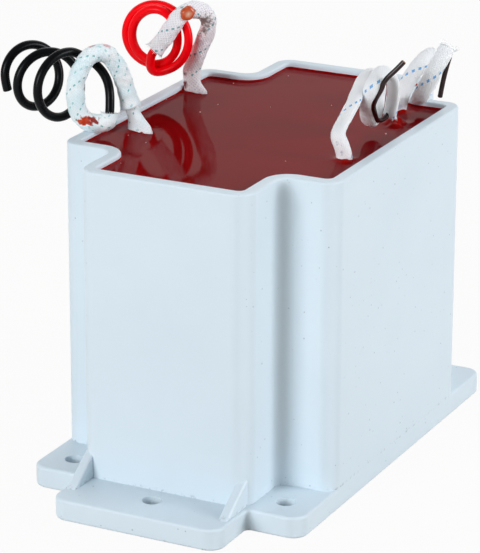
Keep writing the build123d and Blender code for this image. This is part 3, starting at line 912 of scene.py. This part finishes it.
redShape = dict(braidShape, **{
    "Twist": 45.0, "First Tilt": 1.6, "Toe": (2.2 * mm, -0.6 * mm, -0.1 * mm), "Toe Length": 3.2 * mm,
    "Seed": 5.0,
})
tubeShape = dict(braidShape, **{
    "Width": 4.2 * mm, "Thickness": 2.4 * mm, "First Tilt": 1.4, "Foot Flare": 0.0, "Mouth Flare": 0.0,
    "Crumple": 0.5 * mm, "Crumple Size": 3.4 * mm, "Seed": 8.0,
})
rearShape = dict(tubeShape, **{
    "Twist": -35.5, "First Tilt": 0.8, "Seed": 11.0, "Reel Start": -5.7 * mm,
})
shortFray = dict(frayShape, Longest=0.8 * mm, Shortest=0.2 * mm)
tuftFray = dict(frayShape, Longest=1.6 * mm, Shortest=0.6 * mm, Spread=0.5, Seed=9)
braidWall, tubeWall = 0.35 * mm, 0.3 * mm
blackRoot, *_ = makeSleeve(
    "black_lead_root_braid", blackRootRoute, rootShape, flecked, ["black_lead_root_sleeve"],
    braidWall, {})
blackSleeve, blackSleevePath, blackYarns = makeSleeve(
    "black_lead_braid", blackSleeveRoute, upperShape, flecked, ["black_lead_sleeve"],
    braidWall, {"foot": frayShape, "mouth": shortFray})
redSleeve, redSleevePath, redYarns = makeSleeve(
    "red_lead_braid", redSleeveRoute, redShape, dotted, ["red_lead_sleeve"],
    braidWall, {"mouth": shortFray})
frontSleeve, frontSleevePath, frontYarns = makeSleeve(
    "front_secondary_braid", frontSleeveRoute, tubeShape, traced,
    ["front_secondary_sleeve"], tubeWall, {"mouth": shortFray})
rearSleeve, rearSleevePath, rearYarns = makeSleeve(
    "rear_secondary_braid", rearSleeveRoute, rearShape, traced, ["rear_secondary_sleeve"],
    tubeWall, {"mouth": tuftFray})
print("sleeves woven")

# leads: flexible pvc-covered leads, and enamelled winding wire
pvcFinish = {
    "black": "#060709", "red": "#ff0010", "roughness": 0.3, "dustSize": 2.5 * mm,
    "glossSwing": (-0.08, 0.1), "shadeSwing": (0.9, 1.1),
}
enamelFinish = {"dark": "#0b0203", "light": "#300b09", "patchSize": 3 * mm, "roughness": 0.22}


def extrudedPvc(name, colour):  # smooth soft gloss, dulled in patches by handling
    material, tree, shader = newMaterial(name, IOR=1.53, Specular_IOR_Level=0.11)
    place = addNode(tree, "ShaderNodeTexCoord").outputs["Object"]
    dust = addNode(tree, "ShaderNodeTexNoise", {
        "Vector": place, "Scale": 1 / pvcFinish["dustSize"], "Detail": 4.0,
    })
    gloss = addNode(tree, "ShaderNodeMapRange", {
        "Value": dust, "To Min": pvcFinish["roughness"] + pvcFinish["glossSwing"][0],
        "To Max": pvcFinish["roughness"] + pvcFinish["glossSwing"][1],
    })
    bright = addNode(tree, "ShaderNodeMapRange", {
        "Value": dust, "To Min": pvcFinish["shadeSwing"][0], "To Max": pvcFinish["shadeSwing"][1],
    })
    shade = addNode(tree, "ShaderNodeHueSaturation", {"Color": linear(colour), "Value": bright})
    wire(tree, shader, {"Base Color": shade, "Roughness": gloss})
    return material


def makeLead(name, points, diameter, material, replaced):
    curve = routeCurve(name, points)
    path = [v.co.copy() for v in readLine(curve).vertices]
    curve.bevel_depth = diameter / 2
    curve.bevel_resolution = 6
    curve.use_fill_caps = True
    curve.materials.append(material)
    return addPiece(name, curve, replaced), path


coilSet = {
    "perTurn": 14,
    "black": {
        "angles": (-40, 836), "headings": (150, 159), "radii": (8.3, 7.8, 7.2, 7.7),
        "pitches": (-10, 3.3, 16.5, 9.5, 3, 11, -4), "rises": (-2, 1.6),
    },
    "red": {
        "centre": (-39, 14.2, 15.1), "heading": 98, "angles": (12, 712),
        "widths": (8.6, 8.7, 8.7, 8.8, 7, 6.1, 6.5, 6.4, 6.2),
        "heights": (8.8, 8.7, 8.7, 8.8, 7.1, 6.6, 7.2, 6.9, 6.9),
        "depths": (0, 0.7, 1.2, 1.2, 0.8, 0.6, -1.3, 0.1, 0.3),
        "asides": (0, 0, 0, 0, -0.3, -0.5, 0.5, -0.3, -0.5), "rises": (0, 0, 0, 0, 0, 0.4, 0.9, 0.4, 0.4),
    },
}


def between(values, share):  # value at a share of the way along evenly spaced ones
    return float(np.interp(share, np.linspace(0, 1, len(values)), values))


def coilSides(heading):  # level axis of a turn, and the level way across it
    axis = Vector((math.cos(math.radians(heading)), math.sin(math.radians(heading)), 0))
    return axis, axis.cross(Vector((0, 0, 1)))


def blackTurns(lead):  # loose turns that wander as they go on from the lead's end
    coil, perTurn = coilSet["black"], coilSet["perTurn"]
    first, last = coil["angles"]
    count = round(perTurn * (last - first) / 360)
    centre = Vector(lead[-1])
    points = []
    for k in range(count + 1):
        share = k / count
        angle = math.radians(first + (last - first) * share)
        axis, side = coilSides(between(coil["headings"], share))
        spoke = (Vector((0, 0, math.cos(angle))) - side * math.sin(angle)) * between(coil["radii"], share)
        if k == 0:
            centre -= spoke
            continue
        drift = axis * between(coil["pitches"], share) + Vector((0, 0, between(coil["rises"], share)))
        centre = centre + drift * (last - first) / count / 360
        points.append(tuple(centre + spoke / math.cos(math.pi / perTurn)))
    return points


def redTurns():  # two turns, the second one smaller and partly in front of the first
    coil, perTurn = coilSet["red"], coilSet["perTurn"]
    first, last = coil["angles"]
    count = round(perTurn * (last - first) / 360)
    axis, side = coilSides(coil["heading"])
    points = []
    for k in range(count + 1):
        share = k / count
        angle = math.radians(first + (last - first) * share)
        grow = 1 / math.cos(math.pi / perTurn)
        across = between(coil["asides"], share) + between(coil["widths"], share) * math.sin(angle) * grow
        up = between(coil["rises"], share) - between(coil["heights"], share) * math.cos(angle) * grow
        points.append(tuple(Vector(coil["centre"]) + axis * between(coil["depths"], share) + side * across
                            + Vector((0, 0, up))))
    return points


leadDiameter, wireDiameter = 2.3 * mm, 1.3 * mm
enamelledCopper = mottledMaterial(  # baked varnish, near black, with the copper's brown showing in streaks
    "enamelled copper wire", enamelFinish["patchSize"], enamelFinish["dark"], enamelFinish["light"], 3.0,
    IOR=1.6, Roughness=enamelFinish["roughness"], Specular_IOR_Level=0.25)
blackLead, blackPath = makeLead(
    "black_lead_wire", overResin(blackLeadRoute + blackTurns(blackLeadRoute)), leadDiameter,
    extrudedPvc("black flexible pvc", pvcFinish["black"]),
    ["black_lead", "black_lead_coil"])
redLead, redPath = makeLead(
    "red_lead_wire", overResin(redLeadRoute + redTurns()), leadDiameter,
    extrudedPvc("red flexible pvc", pvcFinish["red"]), ["red_lead", "red_lead_coil"])
frontWire, frontWirePath = makeLead(
    "front_enamelled_wire", overResin(frontWireRoute), wireDiameter, enamelledCopper,
    ["front_secondary_wire"])
rearWire, rearWirePath = makeLead(
    "rear_enamelled_wire", overResin(rearWireRoute), wireDiameter, enamelledCopper,
    ["rear_secondary_wire"])

# cut ends: bare copper, seven strands in a lead and one solid core in a winding wire
cutSet = {
    "copper": "#9a6242", "tarnish": "#54301f", "tarnishSize": 0.4 * mm, "strandStep": 0.36 * mm,
    "strand": 0.17 * mm, "core": 0.54 * mm, "length": 0.3 * mm, "corners": 14,
}
strandTree, sizes = newTree("copper strands", {
    "Strand": "Float", "Length": "Float", "Onward": "Vector", "Material": "Material",
})
strands = addNode(strandTree, "GeometryNodeInstanceOnPoints", {
    "Points": sizes["Geometry"],
    "Instance": addNode(strandTree, "GeometryNodeMeshCylinder", {
        "Vertices": cutSet["corners"], "Radius": sizes["Strand"], "Depth": sizes["Length"],
    }),
    "Rotation": addNode(strandTree, "FunctionNodeAlignRotationToVector", {
        "Vector": sizes["Onward"],
    }, axis="Z"),
})
endTree(strandTree, strands, sizes["Material"])


def cutEnd(name, path, count, radius, material):
    onward = (path[-1] - path[-2]).normalized()
    side = onward.orthogonal().normalized()
    other = onward.cross(side)
    points = [path[-1].copy()]
    for k in range(count - 1):
        angle = math.tau * k / (count - 1)
        points.append(path[-1] + (side * math.cos(angle) + other * math.sin(angle)) * cutSet["strandStep"])
    host = bpy.data.meshes.new(name)
    host.from_pydata(points, [], [])
    made = runTree(strandTree, host, {
        "Strand": radius, "Length": cutSet["length"], "Onward": onward, "Material": material,
    })
    made.name = name
    return addPiece(name, made)


cutCopper = mottledMaterial(  # sheared face, dull and a little tarnished
    "cut copper", cutSet["tarnishSize"], cutSet["copper"], cutSet["tarnish"], 3.0,
    Metallic=1.0, Roughness=0.38)
leadStrands, wireStrands = 7, 1
blackEnd = cutEnd("black_lead_cut_end", blackPath, leadStrands, cutSet["strand"], cutCopper)
redEnd = cutEnd("red_lead_cut_end", redPath, leadStrands, cutSet["strand"], cutCopper)
frontEnd = cutEnd("front_wire_cut_end", frontWirePath, wireStrands, cutSet["core"], cutCopper)
rearEnd = cutEnd("rear_wire_cut_end", rearWirePath, wireStrands, cutSet["core"], cutCopper)
print("leads laid")

# bead: a drop of resin that set as a ring on the red lead's sleeve
beadSet = {
    "near": (-30.6, 15.0, 23.0), "facing": (0.42, -0.84, -0.15), "sink": 1.2 * mm,
    "profile": [  # radius and height in mm, from the middle out
        (0.0, 0.8), (0.3, 0.82), (0.65, 0.95), (1.05, 1.1), (1.45, 1.02), (1.75, 0.75), (1.9, 0.4),
        (1.94, 0.0), (1.7, -0.6),
    ],
    "wobble": 0.07, "lobes": 2, "lobeTurn": 1, "ripple": 0.04, "ripples": 5, "segments": 32,
    # the middle colour, out to the highlight radius, is a painted highlight
    "highlightRadius": 1.1, "streakSize": 1.2 * mm, "ring": "#b8360f", "amber": "#d4683a", "middle": "#ddb79b",
}


def dropResin():  # thin resin over white braid: orange, with a painted highlight as its pale middle
    material, tree, shader = newMaterial("amber resin drop", IOR=1.5, Roughness=0.1)
    middle = addNode(tree, "ShaderNodeAttribute", attribute_name="middle").outputs["Fac"]
    colour, _ = mottled(tree, beadSet["streakSize"], beadSet["ring"], beadSet["amber"])
    # painted highlight: the pale colour in the middle of the drop
    colour = addNode(tree, "ShaderNodeMix", {
        0: middle, 6: colour, 7: linear(beadSet["middle"]),
    }, data_type="RGBA")
    wire(tree, shader, {"Base Color": colour})
    return material


def resinBead(path, material):
    near = overResin([beadSet["near"]])[0]
    k = min(range(2, len(path) - 2), key=lambda i: (path[i] - near).length)
    along = (path[k + 1] - path[k - 1]).normalized()
    facing = Vector(beadSet["facing"])
    up = (facing - along * facing.dot(along)).normalized()
    side = up.cross(along)
    base = path[k] + up * beadSet["sink"]
    mesh = bmesh.new()
    middleLayer = mesh.verts.layers.float.new("middle")
    count = beadSet["segments"]
    rings = []
    for radius, height in beadSet["profile"][1:]:
        ring = []
        for j in range(count):
            angle = math.tau * j / count
            lobes = beadSet["wobble"] * math.sin(beadSet["lobes"] * angle + beadSet["lobeTurn"])
            reach = radius * mm * (1 + lobes + beadSet["ripple"] * math.sin(beadSet["ripples"] * angle))
            spoke = along * math.cos(angle) + side * math.sin(angle)
            vert = mesh.verts.new(base + spoke * reach + up * height * mm)
            vert[middleLayer] = max(0.0, 1 - radius / beadSet["highlightRadius"])
            ring.append(vert)
        rings.append(ring)
    top = mesh.verts.new(base + up * beadSet["profile"][0][1] * mm)
    top[middleLayer] = 1.0
    for j in range(count):
        k = (j + 1) % count
        mesh.faces.new((top, rings[0][j], rings[0][k])).smooth = True
        for inner, outer in zip(rings, rings[1:]):
            mesh.faces.new((inner[j], outer[j], outer[k], inner[k])).smooth = True
    mesh.faces.new(rings[-1][::-1])
    data = closeMesh("resin_bead", mesh, material)
    return addPiece("resin_bead", data)


bead = resinBead(redSleevePath, dropResin())
print("bead set")
